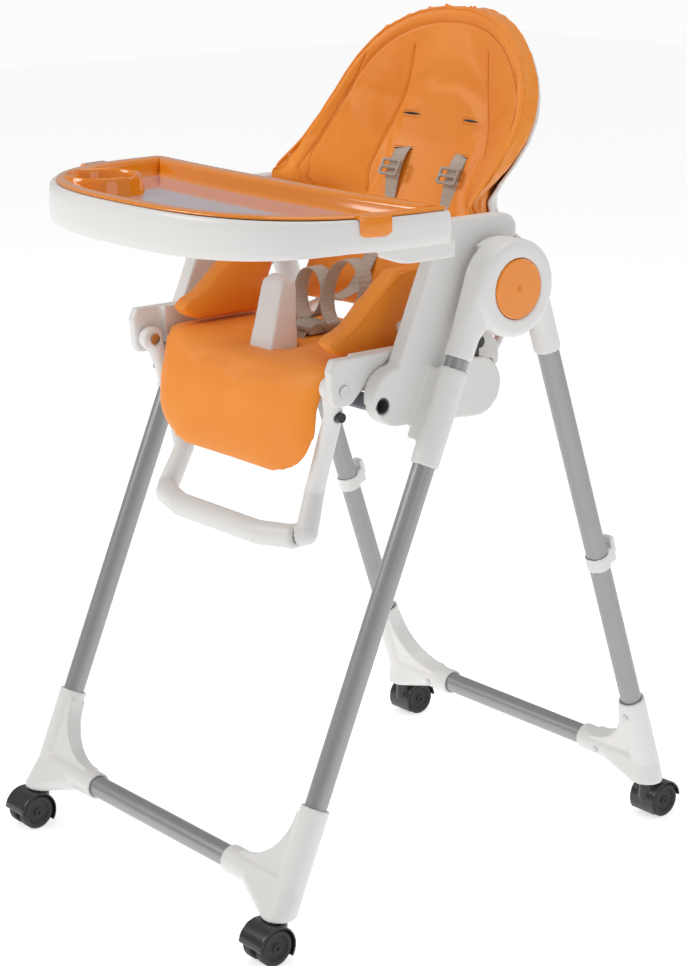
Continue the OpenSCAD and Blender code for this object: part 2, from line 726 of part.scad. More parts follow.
from_hub() {
    front_leg(1);  // front_leg_left
    front_leg(-1);  // front_leg_right
    crossbar(leg_half, front_lean, front_off);  // front_crossbar
    front_corner(1);  // front_corner_left
    front_corner(-1);  // front_corner_right
    corner_screws(leg_half, front_lean, front_off);  // front_corner_screws
    hub_shell();  // hub_shell_left
    flip(-1) hub_shell();  // hub_shell_right
    both() hub_pin();  // hub_pins
    fold_button();  // fold_button_left
    flip(-1) fold_button();  // fold_button_right
    rear_leg(1);  // rear_leg_left
    rear_leg(-1);  // rear_leg_right
    to_rear() crossbar(rear_half, rear_lean, rear_off);  // rear_crossbar
    rear_corner(1);  // rear_corner_left
    rear_corner(-1);  // rear_corner_right
    to_rear() rear_screws();  // rear_corner_screws
    hub_arm();  // hub_arm_left
    flip(-1) hub_arm();  // hub_arm_right
    both() tray_hook();  // tray_hooks
    carriage();  // carriage_left
    flip(-1) carriage();  // carriage_right
    height_trigger();  // height_trigger_left
    flip(-1) height_trigger();  // height_trigger_right
    seat_shell();
    cross_tube();
    recline_rod();
    seat_screws();
    seat_cushion();
    bolster();  // bolster_left
    flip(-1) bolster();  // bolster_right
    crotch_post();
    lap_straps();
    crotch_strap();
    buckle();
    back_shell();
    back_cushion();
    recline_lever();
    shoulder_strap();  // shoulder_strap_left
    flip(-1) shoulder_strap();  // shoulder_strap_right
    strap_sliders();
    footrest_frame();
    legrest_panel();
    legrest_pad();
    legrest_screws();
    legrest_button();  // legrest_button_left
    flip(-1) legrest_button();  // legrest_button_right
    tray_base();
    tray_arm();  // tray_arm_left
    flip(-1) tray_arm();  // tray_arm_right
    tray_latch();
    tray_insert();
    front_caster(1) caster_fork();  // caster_fork_front_left
    front_caster(-1) caster_fork();  // caster_fork_front_right
    rear_caster(1) caster_fork();  // caster_fork_rear_left
    rear_caster(-1) caster_fork();  // caster_fork_rear_right
    front_caster(1) caster_wheels();  // caster_wheels_front_left
    front_caster(-1) caster_wheels();  // caster_wheels_front_right
    rear_caster(1) caster_wheels();  // caster_wheels_rear_left
    rear_caster(-1) caster_wheels();  // caster_wheels_rear_right
}
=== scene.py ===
"""Folding high chair: upholstery, mouldings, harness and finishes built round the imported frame."""
import math

import bmesh
import bpy
import numpy as np
from mathutils import Matrix, Vector
from mathutils.bvhtree import BVHTree


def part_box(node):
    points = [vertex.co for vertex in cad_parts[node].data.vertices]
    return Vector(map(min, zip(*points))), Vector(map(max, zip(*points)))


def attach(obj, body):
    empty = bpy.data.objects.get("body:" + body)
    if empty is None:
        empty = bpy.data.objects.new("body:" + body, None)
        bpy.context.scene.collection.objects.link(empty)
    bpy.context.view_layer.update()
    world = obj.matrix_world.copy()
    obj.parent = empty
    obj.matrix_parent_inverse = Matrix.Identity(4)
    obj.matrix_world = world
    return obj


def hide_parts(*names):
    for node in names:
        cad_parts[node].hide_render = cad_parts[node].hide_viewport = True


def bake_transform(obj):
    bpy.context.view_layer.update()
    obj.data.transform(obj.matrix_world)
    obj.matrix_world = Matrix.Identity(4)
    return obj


bl_info = {
    "name": "Folding high chair",
    "version": (1, 0, 0),
    "blender": (4, 5, 0),
    "location": "View3D > Sidebar > High chair",
    "description": "Builds the soft parts, mouldings and finishes of a folding high chair",
    "category": "Object",
}

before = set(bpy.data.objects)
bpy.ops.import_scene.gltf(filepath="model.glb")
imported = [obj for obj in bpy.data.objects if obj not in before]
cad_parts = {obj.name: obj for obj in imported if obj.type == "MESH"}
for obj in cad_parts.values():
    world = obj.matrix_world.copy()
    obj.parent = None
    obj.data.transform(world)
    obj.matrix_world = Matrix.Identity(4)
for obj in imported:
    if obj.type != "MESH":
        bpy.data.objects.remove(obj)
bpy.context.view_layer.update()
SIDES = {"left": 1, "right": -1}
CORNERS = [f"{end}_{side}" for end in ("front", "rear") for side in SIDES]


# ---- Sizes and colours that a user would change ----

def colour(name, description, value):
    """A colour property with a plain default."""
    return bpy.props.FloatVectorProperty(
        name=name, description=description, subtype="COLOR", size=3, min=0, max=1, default=value)


def length(name, description, value):
    """A length property in metres."""
    return bpy.props.FloatProperty(
        name=name, description=description, default=value, min=0, unit="LENGTH")


class ChairColours(bpy.types.PropertyGroup):
    """Colours of the chair's finishes."""
    leather: colour("Leatherette", "Upholstery of seat, back and leg rest", (0.91, 0.305, 0.022))
    leather_shade: colour("Leatherette shade", "Its darker patches", (0.85, 0.245, 0.014))
    orange: colour("Orange plastic", "Tray insert and fold buttons", (0.90, 0.27, 0.010))
    white: colour("White plastic", "Mouldings of frame, seat and tray", (0.80, 0.79, 0.775))
    paint: colour("Leg paint", "Satin paint on the tubes", (0.36, 0.365, 0.375))
    steel: colour("Bare steel", "Screws, pins and the bare top of the legs", (0.62, 0.62, 0.63))
    grey: colour("Grey metal", "Cross tube and levers", (0.17, 0.18, 0.20))
    black: colour("Black plastic", "Casters, triggers and buttons", (0.012, 0.012, 0.013))
    webbing: colour("Webbing", "Harness straps", (0.50, 0.43, 0.36))
    buckle: colour("Buckle", "Harness buckle and sliders", (0.42, 0.37, 0.32))


class ChairSizes(bpy.types.PropertyGroup):
    """Sizes of the soft parts and of the edges of the mouldings."""
    cloth_grid: length("Cloth grid", "Voxel of the padded pieces before they are filled", 0.005)
    mould_grid: length("Moulding grid", "Voxel of the moulded pieces", 0.0017)
    seam_sink: length("Seam sink", "How deep a seam sits under the padding", 0.0016)
    piping: length("Piping", "Radius of the piping round the back", 0.0017)
    stitch: length("Stitch", "Length of one stitch", 0.0032)
    strap: length("Strap width", "Width of the harness webbing", 0.025)


class ChairStage(bpy.types.PropertyGroup):
    """Where the camera stands."""
    azimuth: bpy.props.FloatProperty(
        name="Azimuth", description="Turn of the camera round the chair", default=math.radians(50.26),
        subtype="ANGLE")
    elevation: bpy.props.FloatProperty(
        name="Elevation", description="Height of the camera above the horizon",
        default=math.radians(15.57), subtype="ANGLE")
    place: bpy.props.FloatVectorProperty(
        name="Place", description="Where the camera stands", size=3, subtype="TRANSLATION",
        default=(2.1986, -1.8336, 1.2582))
    lens: bpy.props.FloatProperty(
        name="Lens", description="Focal length in millimetres", default=87.26, min=10, subtype="NONE")


def colours():
    return bpy.context.scene.chair_colours


def sizes():
    return bpy.context.scene.chair_sizes


# ---- Node groups that several finishes share ----

def new_group(name, inputs, outputs):
    """An empty shader group; inputs are (name, kind, default), outputs are (name, kind)."""
    group = bpy.data.node_groups.new(name, "ShaderNodeTree")
    for label, kind, value in inputs:
        socket = group.interface.new_socket(label, in_out="INPUT", socket_type=kind)
        socket.default_value = value
    for label, kind in outputs:
        group.interface.new_socket(label, in_out="OUTPUT", socket_type=kind)
    start, end = group.nodes.new("NodeGroupInput"), group.nodes.new("NodeGroupOutput")
    return group, start, end


def calc(tree, operation, a, b=0.5, c=None):
    """A math node whose inputs are sockets or numbers."""
    node = tree.nodes.new("ShaderNodeMath")
    node.operation = operation
    for socket, value in zip(node.inputs, (a, b, c)):
        if isinstance(value, bpy.types.NodeSocket):
            tree.links.new(value, socket)
        elif value is not None:
            socket.default_value = value
    return node.outputs[0]


def spread(tree, value, low, high):
    """Carries 0 to 1 over to low to high; the limits are sockets or numbers."""
    node = tree.nodes.new("ShaderNodeMapRange")
    for socket, item in zip((node.inputs[0], node.inputs[3], node.inputs[4]), (value, low, high)):
        if isinstance(item, bpy.types.NodeSocket):
            tree.links.new(item, socket)
        else:
            socket.default_value = item
    return node.outputs[0]


def noise(tree, place, scale, detail=3.0):
    node = tree.nodes.new("ShaderNodeTexNoise")
    node.inputs["Detail"].default_value = detail
    tree.links.new(place, node.inputs["Vector"])
    if isinstance(scale, bpy.types.NodeSocket):
        tree.links.new(scale, node.inputs["Scale"])
    else:
        node.inputs["Scale"].default_value = scale
    return node.outputs[0]


def object_place(tree):
    return tree.nodes.new("ShaderNodeTexCoord").outputs["Object"]


def mottle_group():
    """Slow drift between two colours, and between two roughnesses, over a surface."""
    group, start, end = new_group(
        "Mottle",
        [("Colour", "NodeSocketColor", (1, 1, 1, 1)), ("Shade", "NodeSocketColor", (0, 0, 0, 1)),
         ("Scale", "NodeSocketFloat", 12.0), ("Low", "NodeSocketFloat", 0.3),
         ("High", "NodeSocketFloat", 0.4)],
        [("Colour", "NodeSocketColor"), ("Roughness", "NodeSocketFloat")])
    place = object_place(group)
    slow = noise(group, place, start.outputs["Scale"])
    mix = group.nodes.new("ShaderNodeMix")
    mix.data_type = "RGBA"
    group.links.new(spread(group, slow, -0.4, 1.4), mix.inputs["Factor"])
    group.links.new(start.outputs["Colour"], mix.inputs[6])
    group.links.new(start.outputs["Shade"], mix.inputs[7])
    group.links.new(mix.outputs[2], end.inputs["Colour"])
    fine = noise(group, place, calc(group, "MULTIPLY", start.outputs["Scale"], 9.0))
    rough = spread(group, fine, start.outputs["Low"], start.outputs["High"])
    group.links.new(rough, end.inputs["Roughness"])
    return group


def grain_group():
    """Pebbled leather grain with fine pores, as a height."""
    group, start, end = new_group(
        "Grain", [("Scale", "NodeSocketFloat", 700.0)], [("Height", "NodeSocketFloat")])
    place = object_place(group)
    cells = group.nodes.new("ShaderNodeTexVoronoi")
    cells.feature = "DISTANCE_TO_EDGE"
    group.links.new(place, cells.inputs["Vector"])
    group.links.new(start.outputs["Scale"], cells.inputs["Scale"])
    pebble = calc(group, "SMOOTH_MIN", cells.outputs[0], 0.28, 0.2)
    pores = noise(group, place, calc(group, "MULTIPLY", start.outputs["Scale"], 3.0))
    group.links.new(calc(group, "MULTIPLY_ADD", pores, 0.12, pebble), end.inputs["Height"])
    return group


def skin_group():
    """Faint orange-peel of moulded or painted surfaces, as a height."""
    group, start, end = new_group(
        "Skin", [("Scale", "NodeSocketFloat", 400.0)], [("Height", "NodeSocketFloat")])
    place = object_place(group)
    wide = noise(group, place, start.outputs["Scale"], 2.0)
    tight = noise(group, place, calc(group, "MULTIPLY", start.outputs["Scale"], 4.0), 1.0)
    group.links.new(calc(group, "MULTIPLY_ADD", tight, 0.3, wide), end.inputs["Height"])
    return group


def dust_group():
    """A thin veil of dust on faces that look up and in patches, as a mask."""
    group, start, end = new_group(
        "Dust", [("Amount", "NodeSocketFloat", 0.1)], [("Mask", "NodeSocketFloat")])
    normal = group.nodes.new("ShaderNodeNewGeometry").outputs["Normal"]
    parts = group.nodes.new("ShaderNodeSeparateXYZ")
    group.links.new(normal, parts.inputs[0])
    up = calc(group, "MAXIMUM", parts.outputs["Z"], 0.0)
    patch = noise(group, object_place(group), 45.0, 5.0)
    group.links.new(
        calc(group, "MULTIPLY", calc(group, "MULTIPLY", up, patch), start.outputs["Amount"]),
        end.inputs["Mask"])
    return group


def weave_group():
    """Ribbed webbing: ribs across the strap and yarns along it, from the strap's own map."""
    group, start, end = new_group(
        "Weave", [("Ribs", "NodeSocketFloat", 900.0), ("Yarns", "NodeSocketFloat", 700.0)],
        [("Height", "NodeSocketFloat")])
    uv = group.nodes.new("ShaderNodeUVMap")
    uv.uv_map = "strap"
    parts = group.nodes.new("ShaderNodeSeparateXYZ")
    group.links.new(uv.outputs[0], parts.inputs[0])
    along = calc(group, "MULTIPLY", parts.outputs["Y"], start.outputs["Ribs"])
    across = calc(group, "MULTIPLY", parts.outputs["X"], start.outputs["Yarns"])
    twill = calc(group, "SINE", calc(group, "ADD", along, calc(group, "SINE", across, 0)), 0)
    yarn = calc(group, "ABSOLUTE", calc(group, "SINE", across, 0), 0)
    group.links.new(calc(group, "MULTIPLY_ADD", yarn, 0.6, twill), end.inputs["Height"])
    return group


GROUPS = {}


def place_group(tree, name, **values):
    """Puts a shared group in a material with its own values."""
    if name not in GROUPS:
        GROUPS[name] = {"Mottle": mottle_group, "Grain": grain_group, "Skin": skin_group,
                        "Dust": dust_group, "Weave": weave_group}[name]()
    node = tree.nodes.new("ShaderNodeGroup")
    node.node_tree = GROUPS[name]
    for label, value in values.items():
        node.inputs[label].default_value = value
    return node


# ---- Finishes ----

def finish_material(name, base, shade, rough, texture, depth, scale=12.0, dust=0.0, **constants):
    """A Principled material with mottled colour and roughness and a bump from a shared texture.
    texture is (group, its values); constants go straight onto the shader's sockets."""
    material = bpy.data.materials.new(name)
    material.use_nodes = True
    tree = material.node_tree
    shader = tree.nodes["Principled BSDF"]
    mottle = place_group(tree, "Mottle", Colour=(*base, 1), Shade=(*shade, 1), Scale=scale,
                         Low=rough[0], High=rough[1])
    tint = mottle.outputs["Colour"]
    if dust:
        veil = place_group(tree, "Dust", Amount=dust)
        mix = tree.nodes.new("ShaderNodeMix")
        mix.data_type = "RGBA"
        mix.inputs[7].default_value = (0.62, 0.60, 0.57, 1)
        tree.links.new(veil.outputs["Mask"], mix.inputs["Factor"])
        tree.links.new(tint, mix.inputs[6])
        tint = mix.outputs[2]
    tree.links.new(tint, shader.inputs["Base Color"])
    tree.links.new(mottle.outputs["Roughness"], shader.inputs["Roughness"])
    bump = tree.nodes.new("ShaderNodeBump")
    bump.inputs["Distance"].default_value = depth
    group, values = texture
    tree.links.new(place_group(tree, group, **values).outputs["Height"], bump.inputs["Height"])
    tree.links.new(bump.outputs[0], shader.inputs["Normal"])
    for label, value in constants.items():
        shader.inputs[label.replace("_", " ")].default_value = value
    return material


def darker(rgb, share):
    return tuple(share * part for part in rgb)


def make_materials():
    """Every finish of the chair, by name."""
    c = colours()
    leather, shade = tuple(c.leather), tuple(c.leather_shade)
    white, orange, webbing = tuple(c.white), tuple(c.orange), tuple(c.webbing)
    m = {}
    m["leather"] = finish_material(
        "Leatherette", leather, shade, (0.40, 0.52), ("Grain", {"Scale": 620.0}), 0.00012,
        scale=9.0, Sheen_Weight=0.12, Sheen_Roughness=0.4, Specular_IOR_Level=0.45)
    m["thread"] = finish_material(
        "Thread", darker(leather, 0.82), darker(shade, 0.8), (0.6, 0.75),
        ("Skin", {"Scale": 2500.0}), 0.0001, scale=60.0)
    m["white"] = finish_material(
        "White moulding", white, darker(white, 0.97), (0.30, 0.40), ("Skin", {"Scale": 900.0}),
        0.00003, scale=7.0, dust=0.06, Coat_Weight=0.15, Coat_Roughness=0.2)
    m["seat_white"] = finish_material(
        "White seat moulding", darker(white, 0.97), darker(white, 0.93), (0.36, 0.46),
        ("Skin", {"Scale": 1300.0}), 0.00005, scale=7.0, dust=0.08)
    m["orange"] = finish_material(
        "Orange moulding", orange, darker(orange, 0.92), (0.10, 0.16), ("Skin", {"Scale": 300.0}),
        0.00002, scale=6.0, Coat_Weight=0.6, Coat_Roughness=0.06)
    # Painted reflection: the pale lilac glossy sheet on the tray's well floor stands in for a reflection
    # of the surroundings, not for a colour of its own.
    m["tray_floor"] = finish_material(
        "Tray floor painted reflection", (0.55, 0.47, 0.56), (0.60, 0.44, 0.46), (0.05, 0.09),
        ("Skin", {"Scale": 200.0}), 0.00001, scale=4.0, Coat_Weight=0.8, Coat_Roughness=0.04)
    m["steel"] = finish_material(
        "Bare steel", tuple(c.steel), darker(c.steel, 0.85), (0.16, 0.26),
        ("Skin", {"Scale": 1500.0}), 0.00002, scale=50.0, Metallic=1.0)
    m["grey"] = finish_material(
        "Grey metal", tuple(c.grey), darker(c.grey, 0.85), (0.32, 0.42), ("Skin", {"Scale": 800.0}),
        0.00003, scale=25.0, Metallic=0.4)
    m["black"] = finish_material(
        "Black plastic", tuple(c.black), darker(c.black, 0.6), (0.20, 0.32),
        ("Skin", {"Scale": 900.0}), 0.00003, scale=30.0, dust=0.03, Coat_Weight=0.3,
        Coat_Roughness=0.15)
    m["tread"] = finish_material(
        "Caster tread", (0.02, 0.02, 0.021), (0.03, 0.03, 0.03), (0.55, 0.7),
        ("Skin", {"Scale": 1600.0}), 0.00008, scale=60.0, dust=0.12)
    m["webbing"] = finish_material(
        "Webbing", webbing, darker(webbing, 0.86), (0.65, 0.8), ("Weave", {}), 0.00025, scale=70.0,
        Sheen_Weight=0.25, Sheen_Roughness=0.5)
    m["buckle"] = finish_material(
        "Buckle plastic", tuple(c.buckle), darker(c.buckle, 0.88), (0.28, 0.38),
        ("Skin", {"Scale": 1100.0}), 0.00004, scale=30.0)
    m["paint"] = leg_material()
    return m


def leg_material():
    """Satin paint on the legs and crossbars."""
    c = colours()
    return finish_material(
        "Leg paint", tuple(c.paint), darker(c.paint, 0.93), (0.30, 0.38), ("Skin", {"Scale": 1100.0}),
        0.00003, scale=18.0, Metallic=0.55)


MATERIALS = {}


# ---- Mesh tools ----

def mesh_object(name, verts, faces, smooth=True):
    mesh = bpy.data.meshes.new(name)
    mesh.from_pydata([tuple(v) for v in verts], [], faces)
    mesh.validate()
    mesh.update()
    piece = bpy.data.objects.new(name, mesh)
    bpy.context.scene.collection.objects.link(piece)
    if smooth:
        mesh.shade_smooth()
    return piece


def outward(piece):
    """Turns the faces of a closed piece to look outwards."""
    bm = bmesh.new()
    bm.from_mesh(piece.data)
    bmesh.ops.recalc_face_normals(bm, faces=bm.faces)
    bm.to_mesh(piece.data)
    bm.free()
    return piece


def applied(piece):
    """Applies the piece's modifiers to its mesh."""
    graph = bpy.context.evaluated_depsgraph_get()
    mesh = bpy.data.meshes.new_from_object(piece.evaluated_get(graph), depsgraph=graph)
    old = piece.data
    piece.modifiers.clear()
    piece.data = mesh
    mesh.name = piece.name
    bpy.data.meshes.remove(old)
    return piece


def points_of(piece):
    co = np.empty(len(piece.data.vertices) * 3, np.float32)
    piece.data.vertices.foreach_get("co", co)
    return co.reshape(-1, 3).astype(float)


def normals_of(piece):
    no = np.empty(len(piece.data.vertices) * 3, np.float32)
    piece.data.vertices.foreach_get("normal", no)
    return no.reshape(-1, 3).astype(float)


def put_points(piece, co):
    piece.data.vertices.foreach_set("co", co.astype(np.float32).ravel())
    piece.data.update()


def cad_copy(name, nodes):
    """One new piece that holds copies of these CAD nodes' meshes."""
    bm = bmesh.new()
    for node in nodes:
        bm.from_mesh(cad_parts[node].data)
    bmesh.ops.remove_doubles(bm, verts=bm.verts, dist=1e-6)
    mesh = bpy.data.meshes.new(name)
    bm.to_mesh(mesh)
    bm.free()
    piece = bpy.data.objects.new(name, mesh)
    bpy.context.scene.collection.objects.link(piece)
    return piece


def joined(name, pieces):
    """One piece from several; the old ones are removed."""
    bm = bmesh.new()
    for piece in pieces:
        bm.from_mesh(piece.data)
    mesh = bpy.data.meshes.new(name)
    bm.to_mesh(mesh)
    bm.free()
    for piece in pieces:
        bpy.data.objects.remove(piece)
    made = bpy.data.objects.new(name, mesh)
    bpy.context.scene.collection.objects.link(made)
    return made


def remeshed(piece, voxel, passes):
    """Rebuilds the piece as one even skin and rounds its edges over."""
    remesh = piece.modifiers.new("Skin", "REMESH")
    remesh.mode = "VOXEL"
    remesh.voxel_size = voxel
    if passes:
        smooth = piece.modifiers.new("Rounding", "SMOOTH")
        smooth.factor = 0.5
        smooth.iterations = passes
    applied(piece)
    piece.data.shade_smooth()
    return piece


def dress(piece, material, body=None, nodes=()):
    """Gives a piece its finish, its body and the CAD nodes that it stands for."""
    piece.data.materials.clear()
    piece.data.materials.append(MATERIALS[material])
    if body:
        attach(piece, body)
    if nodes:
        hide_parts(*nodes)
    return piece


def paint_node(node, material):
    """Gives a CAD node that stays in view its finish."""
    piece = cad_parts[node]
    piece.data.materials.clear()
    piece.data.materials.append(MATERIALS[material])
    return piece


def soften_edges(piece, width, segments=2):
    """A small bevel on a CAD node that stays in view; its own mesh is left alone."""
    bevel = piece.modifiers.new("Edge", "BEVEL")
    bevel.width = width
    bevel.segments = segments
    bevel.limit_method = "ANGLE"
    bevel.angle_limit = math.radians(50)
    bevel.harden_normals = False
    return piece


def moulding(node, body, material="white", voxel=None, passes=5):
    """A moulded piece with soft edges that stands for a CAD node."""
    piece = remeshed(cad_copy("moulded_" + node, [node]), voxel or sizes().mould_grid, passes)
    return dress(piece, material, body, [node])


def distance_to(points, line):
    """Each point's distance to a polyline."""
    best = np.full(len(points), 1e9)
    for a, b in zip(line[:-1], line[1:]):
        a, b = np.array(a, float), np.array(b, float)
        d = b - a
        t = np.clip((points - a) @ d / max(d @ d, 1e-12), 0, 1)
        best = np.minimum(best, np.linalg.norm(points - a - t[:, None] * d, axis=1))
    return best


def surface_of(piece):
    bm = bmesh.new()
    bm.from_mesh(piece.data)
    tree = BVHTree.FromBMesh(bm)
    bm.free()
    return tree


def traced(tree, points, direction):
    """Where rays from these points along direction first meet the surface; misses are dropped."""
    found = []
    for point in points:
        hit = tree.ray_cast(Vector(point), Vector(direction))
        if hit[0] is not None:
            found.append(hit[0])
    return found


def filled(piece, seams, cap, pressure=4.0, frames=20):
    """Fills a padded piece by cloth simulation, held along its seams. No point moves over cap."""
    rest = points_of(piece)
    held = piece.vertex_groups.new(name="held")
    near = np.min([distance_to(rest, seam) for seam in seams], axis=0) if seams else rest[:, 0] + 9
    for index in np.nonzero(near < 0.006)[0]:
        held.add([int(index)], float(np.clip(1.6 - near[index] / 0.004, 0, 1)), "REPLACE")
    cloth = piece.modifiers.new("Filling", "CLOTH")
    cloth.settings.quality = 5
    cloth.settings.use_pressure = True
    cloth.settings.uniform_pressure_force = pressure
    cloth.settings.effector_weights.gravity = 0
    cloth.settings.vertex_group_mass = "held"
    cloth.settings.tension_stiffness = 30
    cloth.settings.compression_stiffness = 30
    cloth.settings.bending_stiffness = 2
    cloth.collision_settings.use_collision = False
    scene = bpy.context.scene
    for number in range(1, frames + 1):
        scene.frame_set(number)
    applied(piece)
    scene.frame_set(1)
    moved = points_of(piece) - rest
    size = np.linalg.norm(moved, axis=1, keepdims=True)
    put_points(piece, rest + moved * np.minimum(1, cap / np.maximum(size, 1e-9)))
    piece.vertex_groups.clear()
    return piece


def sunk_seams(piece, seams, depth, width=0.0022):
    """Draws sewn seams into the padding as narrow grooves."""
    co, no = points_of(piece), normals_of(piece)
    for seam in seams:
        d = distance_to(co, seam)
        co -= no * (depth * np.exp(-(d / width) ** 2))[:, None]
    put_points(piece, co)
    return piece


def refined(piece, levels=1):
    piece.modifiers.new("Refine", "SUBSURF").levels = levels
    applied(piece)
    piece.data.shade_smooth()
    return piece


def tube(name, line, radius, sides=10):
    """A round cord along a polyline, with closed ends."""
    pts = [Vector(p) for p in line]
    count = len(pts)
    verts, faces = [], []
    up = Vector((0.3, 0.2, 1)).normalized()
    for i, p in enumerate(pts):
        before = pts[max(i - 1, 0)]
        after = pts[min(i + 1, count - 1)]
        along = (after - before).normalized()
        side = along.cross(up).normalized()
        top = side.cross(along)
        for k in range(sides):
            a = 2 * math.pi * k / sides
            verts.append(p + radius * (math.cos(a) * side + math.sin(a) * top))
    for i in range(count - 1):
        for k in range(sides):
            a, b = i * sides + k, i * sides + (k + 1) % sides
            faces.append((a, b, b + sides, a + sides))
    faces.append(tuple(range(sides - 1, -1, -1)))
    faces.append(tuple(range((count - 1) * sides, count * sides)))
    return mesh_object(name, verts, faces)


def evenly(line, step):
    """Points along a polyline at even steps."""
    pts = np.array([tuple(p) for p in line], float)
    lengths = np.concatenate([[0], np.cumsum(np.linalg.norm(np.diff(pts, axis=0), axis=1))])
    spots = np.arange(0, lengths[-1], step)
    return np.stack([np.interp(spots, lengths, pts[:, k]) for k in range(3)], axis=1)


def smooth_line(line, step=0.004, passes=6):
    pts = evenly(line, step)
    for _ in range(passes):
        pts[1:-1] = (pts[:-2] + 2 * pts[1:-1] + pts[2:]) / 4
    return pts


def stitches(name, tree, lines, material="thread"):
    """Rows of short raised stitches that lie on a surface along these lines."""
    pitch, long, radius = sizes().stitch * 1.45, sizes().stitch, 0.00042
    bits = []
    for line in lines:
        spots = evenly(line, pitch)
        for here, there in zip(spots[:-1], spots[1:]):
            mid = Vector((here + there) / 2)
            spot, normal = tree.find_nearest(mid)[:2]
            along = Vector(there - here).normalized() * long / 2
            ends = [spot - along, spot - along * 0.5 + normal * radius, spot + along * 0.5
                    + normal * radius, spot + along]
            bits.append(tube("bit", ends, radius, 6))
    piece = joined(name, bits)
    piece.data.shade_smooth()
    return dress(piece, material)


def ribbon(name, line, across, width, thick=0.0014):
    """A flat strap that follows a line; across is its width's direction at each point or one for all.
    It carries a map named strap, in metres, for its weave."""
    pts = [Vector(p) for p in line]
    many = across if isinstance(across, list) else [across] * len(pts)
    columns = 7
    verts, uvs, far = [], [], 0.0
    for i, p in enumerate(pts):
        if i:
            far += (p - pts[i - 1]).length
        ahead = pts[min(i + 1, len(pts) - 1)] - pts[max(i - 1, 0)]
        side = Vector(many[i])
        side = (side - ahead * (side.dot(ahead) / max(ahead.length_squared, 1e-12))).normalized()
        up = ahead.normalized().cross(side)
        for layer in (1, -1):
            for k in range(columns):
                u = 2 * k / (columns - 1) - 1
                edge = 0.35 if abs(u) > 0.99 else 1
                verts.append(p + side * (u * width / 2) + up * (layer * edge * thick / 2))
                uvs.append((u * width / 2, far))
    faces = []
    row = 2 * columns
    ring = list(range(columns)) + list(range(row - 1, columns - 1, -1))
    for i in range(len(pts) - 1):
        for k in range(row):
            a, b = ring[k], ring[(k + 1) % row]
            faces.append((i * row + a, i * row + b, (i + 1) * row + b, (i + 1) * row + a))
    faces.append(tuple(reversed(ring)))
    faces.append(tuple((len(pts) - 1) * row + k for k in ring))
    piece = mesh_object(name, verts, faces)
    layer = piece.data.uv_layers.new(name="strap")
    for loop in piece.data.loops:
        layer.data[loop.index].uv = uvs[loop.vertex_index]
    return outward(piece)


def prism(name, outline, half):
    """A closed solid from an outline of (y, z) points, from -half to half along X."""
    count = len(outline)
    verts = [(side * half, y, z) for side in (-1, 1) for y, z in outline]
    faces = [tuple(range(count)), tuple(range(2 * count - 1, count - 1, -1))]
    faces += [(k, k + count, (k + 1) % count + count, (k + 1) % count) for k in range(count)]
    piece = mesh_object(name, verts, faces, smooth=False)
    return outward(piece)


def settled(piece, co_before, rests, cap, backing=0.0006):
    """Limits how far a filled piece stands proud: cap in the open, backing where it rests."""
    moved = points_of(piece) - co_before
    facing = normals_of(piece) @ np.array(rests, float)
    limit = np.where(facing > 0.5, backing, cap)[:, None]
    size = np.linalg.norm(moved, axis=1, keepdims=True)
    put_points(piece, co_before + moved * np.minimum(1, limit / np.maximum(size, 1e-9)))


def cushion(name, parts, seams, rests, cap, passes=3, ease=2):
    """Makes a padded piece from closed parts: one skin, filled, then refined with sunk seams."""
    piece = remeshed(joined(name, parts), sizes().cloth_grid, passes)
    rest = points_of(piece)
    filled(piece, seams, cap)
    settled(piece, rest, rests, cap)
    smooth = piece.modifiers.new("Even", "SMOOTH")
    smooth.factor, smooth.iterations = 0.5, ease
    applied(piece)
    refined(piece)
    if seams:
        piece = sunk_seams(refined(piece), seams, sizes().seam_sink)
    return piece


# ---- The pieces, one operator for each group ----

class CHAIR_OT_tubes(bpy.types.Operator):
    """Paints the legs, crossbars and the bare metal parts"""
    bl_idname = "chair.tubes"
    bl_label = "Tubes and metal"

    def execute(self, context):
        for end in ("front", "rear"):
            for side in SIDES:
                paint_node(f"{end}_leg_{side}", "paint")
            paint_node(f"{end}_crossbar", "paint")
            paint_node(f"{end}_corner_screws", "steel")
        for node in ("hub_pins", "recline_rod", "legrest_screws"):
            soften_edges(paint_node(node, "steel"), 0.0004)
        for node in ("cross_tube", "tray_latch", "recline_lever"):
            soften_edges(paint_node(node, "grey"), 0.0012, 3)
        for side in SIDES:
            soften_edges(paint_node(f"fold_button_{side}", "orange"), 0.0006)
            soften_edges(paint_node(f"height_trigger_{side}", "black"), 0.0012, 3)
            soften_edges(paint_node(f"legrest_button_{side}", "black"), 0.0008)
        soften_edges(paint_node("seat_screws", "white"), 0.0005)
        return {"FINISHED"}


class CHAIR_OT_mouldings(bpy.types.Operator):
    """Rounds over the white mouldings of the frame and the seat"""
    bl_idname = "chair.mouldings"
    bl_label = "White mouldings"

    def execute(self, context):
        for side in SIDES:
            moulding(f"hub_shell_{side}", "front_frame", passes=7)
            moulding(f"hub_arm_{side}", "rear_frame")
            moulding(f"front_corner_{side}", "front_frame", passes=8)
            moulding(f"rear_corner_{side}", "rear_frame", passes=8)
            moulding(f"carriage_{side}", "seat", "seat_white", 0.0021, 7)
            moulding(f"tray_arm_{side}", "tray", "seat_white", passes=4)
        moulding("tray_hooks", "rear_frame", passes=4)
        moulding("seat_shell", "seat", "seat_white", 0.0022, 4)
        moulding("crotch_post", "seat", "white", 0.0016, 9)
        bar = moulding("footrest_frame", "legrest", "seat_white", 0.0019, 8)
        place, out = points_of(bar), normals_of(bar)
        full = np.clip((0.53 - place[:, 2:3]) / 0.06, 0, 1)
        put_points(bar, place + out * full * np.array((0.001, 0.0025, 0.0035)))
        moulding("legrest_panel", "legrest", "seat_white", 0.0019, 3)
        return {"FINISHED"}


